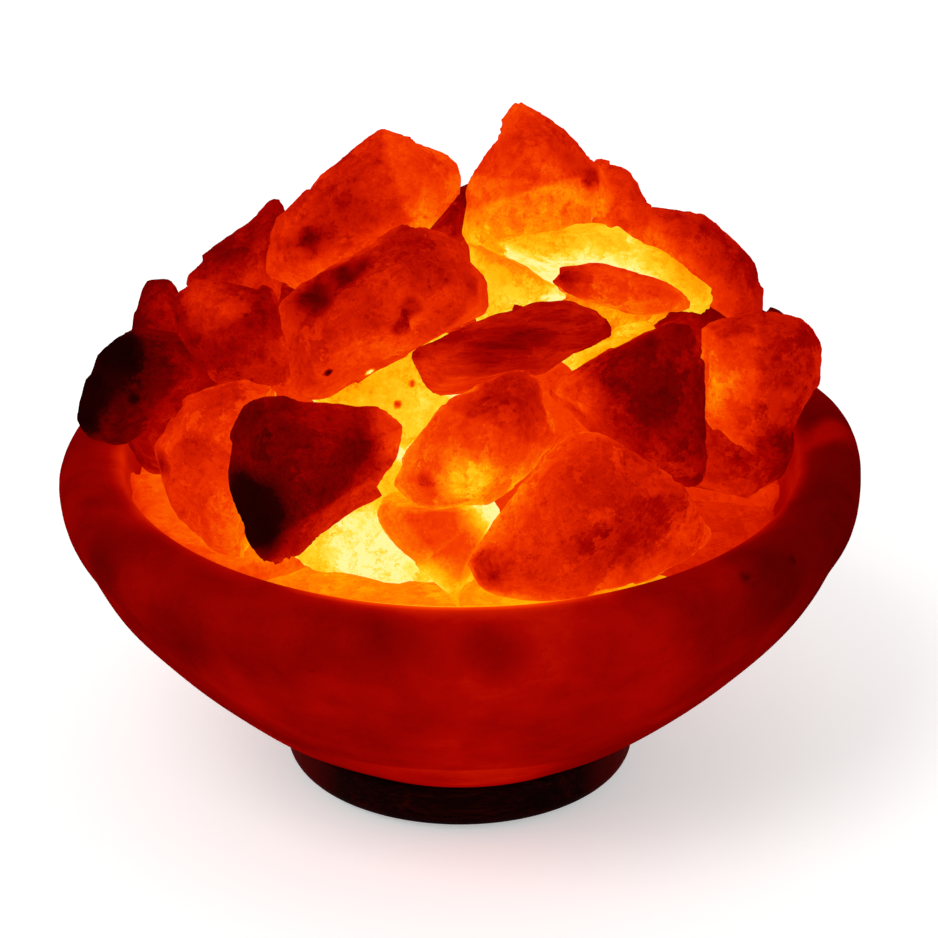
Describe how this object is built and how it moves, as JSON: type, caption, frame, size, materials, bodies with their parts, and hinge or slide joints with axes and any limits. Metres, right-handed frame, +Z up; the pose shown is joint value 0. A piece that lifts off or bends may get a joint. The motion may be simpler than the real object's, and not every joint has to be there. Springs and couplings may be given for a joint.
{
  "type": "salt crystal lamp",
  "caption": "Carved salt bowl on a round wooden base, heaped with loose rough salt stones and lit from inside by a small bulb.",
  "frame": {"origin": "on the floor, under the centre of the round base", "axes": "+Z up, +Y towards the back where the cord channel leaves the base, the seen side faces -Y"},
  "size_m": [0.228, 0.228, 0.1996],
  "materials": {
    "dark_wood": "turned and oiled, dark",
    "foot_rubber": "matt",
    "zinc_steel": "zinc plated",
    "carved_salt": "smooth carved salt, dull glow",
    "salt_dark_red": "rough crystal, little light through",
    "salt_orange": "rough crystal, lit from behind",
    "salt_bright": "rough crystal, strongly lit",
    "black_holder": "moulded",
    "thread_brass": "pressed",
    "gland_rubber": "matt",
    "spring_steel": "spring temper",
    "tip_black": "black glass insulator",
    "cap_brass": "pressed",
    "clear_glass": "clear, lit",
    "stem_glass": "clear",
    "hot_wire": "glowing"
  },
  "bodies": {
    "lamp": {"base_screws": "zinc_steel", "rubber_feet": "foot_rubber", "salt_bowl": "carved_salt", "stone_back_right": "salt_orange", "stone_bed_1": "salt_orange", "stone_bed_2": "salt_orange", "stone_bed_3": "salt_orange", "stone_bed_4": "salt_orange", "stone_bed_5": "salt_orange", "stone_bed_6": "salt_orange", "stone_bed_7": "salt_orange", "stone_bed_8": "salt_orange", "stone_bright": "salt_bright", "stone_centre": "salt_bright", "stone_core_1": "salt_orange", "stone_core_2": "salt_orange", "stone_core_3": "salt_orange", "stone_core_4": "salt_orange", "stone_core_5": "salt_orange", "stone_core_6": "salt_orange", "stone_front_left": "salt_dark_red", "stone_front_right": "salt_orange", "stone_inner_front": "salt_bright", "stone_inner_left": "salt_bright", "stone_inner_top": "salt_bright", "stone_left_dark": "salt_dark_red", "stone_left_low": "salt_orange", "stone_left_upper": "salt_orange", "stone_nose": "salt_orange", "stone_notch": "salt_orange", "stone_rear_high_1": "salt_orange", "stone_rear_high_3": "salt_orange", "stone_rear_high_4": "salt_orange", "stone_rear_low_1": "salt_orange", "stone_rear_low_2": "salt_orange", "stone_rear_low_3": "salt_orange", "stone_rear_low_4": "salt_orange", "stone_rear_low_5": "salt_orange", "stone_right_dark": "salt_dark_red", "stone_right_edge": "salt_orange", "stone_shoulder_left": "salt_orange", "stone_slab": "salt_dark_red", "wood_base": "dark_wood"},
    "holder": {"lamp_holder": "black_holder", "socket_thread_shell": "thread_brass", "socket_centre_contact": "thread_brass", "cord_gland": "gland_rubber", "clip_collar": "spring_steel", "holder_clips": "spring_steel"},
    "bulb_carrier": {"bulb_tip": "tip_black"},
    "bulb": {"bulb_cap": "cap_brass", "bulb_glass": "clear_glass", "bulb_stem": "stem_glass", "bulb_filament": "hot_wire"},
    "loose_ridge": {"stone_ridge": "salt_dark_red"},
    "loose_peak": {"stone_peak": "salt_orange"},
    "loose_peak_right": {"stone_peak_right": "salt_orange"},
    "loose_crown_left": {"stone_crown_left": "salt_orange"},
    "loose_left_tip": {"stone_left_tip": "salt_dark_red"},
    "loose_rear_high_2": {"stone_rear_high_2": "salt_orange"}
  },
  "joints": [
    {"name": "holder_pull", "type": "slide", "parent": "lamp", "child": "holder", "axis": [0, 0, -1], "range_m": [0, 0.085]},
    {"name": "bulb_rise", "type": "slide", "parent": "holder", "child": "bulb_carrier", "axis": [0, 0, 1], "range_m": [0, 0.00889]},
    {"name": "bulb_turn", "type": "hinge", "parent": "bulb_carrier", "child": "bulb", "pos_m": [0, 0, 0.03], "axis": [0, 0, 1], "range_deg": [0, 1260]},
    {"name": "lift_ridge", "type": "slide", "parent": "lamp", "child": "loose_ridge", "axis": [0, 0, 1], "range_m": [0, 0.12]},
    {"name": "lift_peak", "type": "slide", "parent": "lamp", "child": "loose_peak", "axis": [0, 0, 1], "range_m": [0, 0.12]},
    {"name": "lift_peak_right", "type": "slide", "parent": "lamp", "child": "loose_peak_right", "axis": [0, 0, 1], "range_m": [0, 0.12]},
    {"name": "lift_crown_left", "type": "slide", "parent": "lamp", "child": "loose_crown_left", "axis": [0, 0, 1], "range_m": [0, 0.12]},
    {"name": "lift_left_tip", "type": "slide", "parent": "lamp", "child": "loose_left_tip", "axis": [0, 0, 1], "range_m": [0, 0.12]},
    {"name": "lift_rear_high_2", "type": "slide", "parent": "lamp", "child": "loose_rear_high_2", "axis": [0, 0, 1], "range_m": [0, 0.12]}
  ],
  "couplings": [
    {"joint": "bulb_rise", "follows": "bulb_turn", "m_per_rad": 0.00040425}
  ]
}
